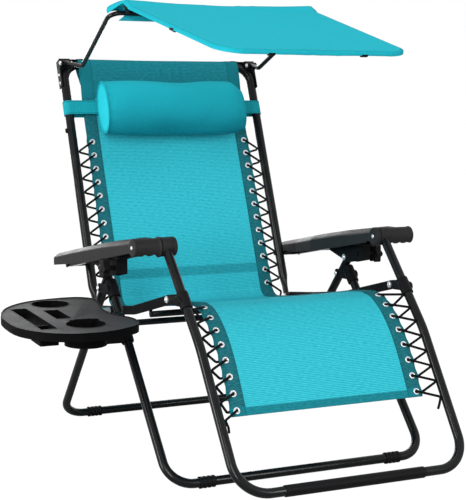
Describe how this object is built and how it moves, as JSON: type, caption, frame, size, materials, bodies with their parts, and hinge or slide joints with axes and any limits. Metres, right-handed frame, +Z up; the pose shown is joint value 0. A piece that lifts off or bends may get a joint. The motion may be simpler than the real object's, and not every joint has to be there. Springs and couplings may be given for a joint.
{
  "type": "sun lounger with canopy",
  "caption": "Folding reclining lounger with laced sling, black tube frame, armrests with star knobs, hinged canopy, head pillow and a side tray.",
  "frame": {"origin": "on the floor, under the middle of the chair's box, side tray included", "axes": "+Z up, the sitter faces -Y, +X to the sitter's left (the tray is on the -X side)"},
  "size_m": [1.032, 1.1888, 1.1218],
  "materials": {
    "black_enamel": "glossy black powder coat on steel tube",
    "black_plastic": "moulded black plastic",
    "grey_plastic": "dark grey moulded plastic, slightly grained",
    "zinc": "zinc plated bolts and rivets",
    "turquoise_mesh": "woven turquoise sling cloth with darker side hems",
    "pillow_cloth": "turquoise cloth",
    "black_cord": "black elastic cord"
  },
  "bodies": {
    "base": {"rear_leg": "black_enamel", "rear_foot_left": "black_plastic", "rear_foot_right": "black_plastic"},
    "front_legs": {"front_leg": "black_enamel", "front_foot_left": "black_plastic", "front_foot_right": "black_plastic", "front_cross_tube": "black_enamel", "front_leg_hinge_left": "black_enamel", "front_leg_hinge_right": "black_enamel", "tray": "grey_plastic", "tray_clamp": "black_plastic"},
    "tray_knob": {"tray_screw": "black_plastic"},
    "lock_left": {"lock_bracket_left": "black_enamel", "lock_housing_left": "black_plastic", "lock_pin_left": "zinc"},
    "knob_left": {"lock_knob_left": "black_plastic"},
    "lock_right": {"lock_bracket_right": "black_enamel", "lock_housing_right": "black_plastic", "lock_pin_right": "zinc"},
    "knob_right": {"lock_knob_right": "black_plastic"},
    "seat": {"seat_bar_left": "black_enamel", "seat_bar_right": "black_enamel", "seat_pivot_pin_left": "zinc", "seat_pivot_pin_right": "zinc", "seat_cross_tube": "black_enamel", "sling_seat": "turquoise_mesh"},
    "back": {"back_frame": "black_enamel", "back_pin_left": "zinc", "back_pin_right": "zinc", "sling_back": "turquoise_mesh", "lace_back_left": "black_cord", "lace_back_right": "black_cord", "corner_bracket_left": "black_plastic", "corner_bracket_right": "black_plastic", "canopy_pin_left": "zinc", "canopy_pin_right": "zinc"},
    "head_pillow": {"pillow": "pillow_cloth", "pillow_band": "pillow_cloth"},
    "canopy": {"canopy_bow": "black_enamel", "canopy_front_bow": "black_enamel", "canopy_cloth": "turquoise_mesh"},
    "leg_rest": {"leg_rest_frame": "black_enamel", "foot_sleeve": "black_plastic", "knee_bracket_left": "black_plastic", "knee_bracket_right": "black_plastic", "knee_pin_left": "zinc", "knee_pin_right": "zinc", "arm_front_bolt_left": "zinc", "arm_front_bolt_right": "zinc", "sling_leg": "turquoise_mesh", "lace_leg_left": "black_cord", "lace_leg_right": "black_cord"},
    "arm_left": {"armrest_left": "grey_plastic", "armrest_rail_left": "black_enamel", "arm_pin_left": "zinc"},
    "arm_right": {"armrest_right": "grey_plastic", "armrest_rail_right": "black_enamel", "arm_pin_right": "zinc"}
  },
  "joints": [
    {"name": "recline", "type": "hinge", "parent": "seat", "child": "back", "pos_m": [0.129, 0.31743, 0.3277], "axis": [-1, 0, 0], "range_deg": [0, 34]},
    {"name": "leg_lift", "type": "hinge", "parent": "seat", "child": "leg_rest", "pos_m": [0.129, -0.23717, 0.429], "axis": [-1, 0, 0], "range_deg": [0, 34]},
    {"name": "arm_level_left", "type": "hinge", "parent": "back", "child": "arm_left", "pos_m": [-0.212, 0.36363, 0.446], "axis": [-1, 0, 0], "range_deg": [-34, 0]},
    {"name": "arm_level_right", "type": "hinge", "parent": "back", "child": "arm_right", "pos_m": [0.47, 0.36363, 0.446], "axis": [-1, 0, 0], "range_deg": [-34, 0]},
    {"name": "seat_tilt", "type": "hinge", "parent": "base", "child": "seat", "pos_m": [0.129, 0.16083, 0.347], "axis": [-1, 0, 0], "range_deg": [0, 13.6]},
    {"name": "lock_tilt_left", "type": "hinge", "parent": "base", "child": "lock_left", "pos_m": [-0.212, 0.05583, 0.465], "axis": [-1, 0, 0], "range_deg": [0, 13.6]},
    {"name": "lock_tilt_right", "type": "hinge", "parent": "base", "child": "lock_right", "pos_m": [0.47, 0.05583, 0.465], "axis": [-1, 0, 0], "range_deg": [0, 13.6]},
    {"name": "knob_turn_left", "type": "hinge", "parent": "lock_left", "child": "knob_left", "pos_m": [-0.243, -0.01417, 0.48], "axis": [-1, 0, 0], "continuous": true},
    {"name": "knob_turn_right", "type": "hinge", "parent": "lock_right", "child": "knob_right", "pos_m": [0.501, -0.01417, 0.48], "axis": [1, 0, 0], "continuous": true},
    {"name": "leg_fold", "type": "hinge", "parent": "base", "child": "front_legs", "pos_m": [0.129, 0.09888, 0.41662], "axis": [1, 0, 0], "range_deg": [0, 70]},
    {"name": "tray_screw_turn", "type": "hinge", "parent": "front_legs", "child": "tray_knob", "pos_m": [-0.27, -0.04945, 0.315], "axis": [-1, 0, 0], "continuous": true},
    {"name": "canopy_tilt", "type": "hinge", "parent": "back", "child": "canopy", "pos_m": [0.129, 0.54771, 0.98603], "axis": [-1, 0, 0], "range_deg": [-20, 70]},
    {"name": "pillow_slide", "type": "slide", "parent": "back", "child": "head_pillow", "axis": [0, 0.3638, 0.9315], "range_m": [-0.08, 0.04]}
  ],
  "couplings": [
    {"joint": "leg_lift", "follows": "recline", "ratio": 1},
    {"joint": "arm_level_left", "follows": "recline", "ratio": -1},
    {"joint": "arm_level_right", "follows": "recline", "ratio": -1},
    {"joint": "seat_tilt", "follows": "recline", "ratio": 0.4},
    {"joint": "lock_tilt_left", "follows": "recline", "ratio": 0.4},
    {"joint": "lock_tilt_right", "follows": "recline", "ratio": 0.4}
  ]
}
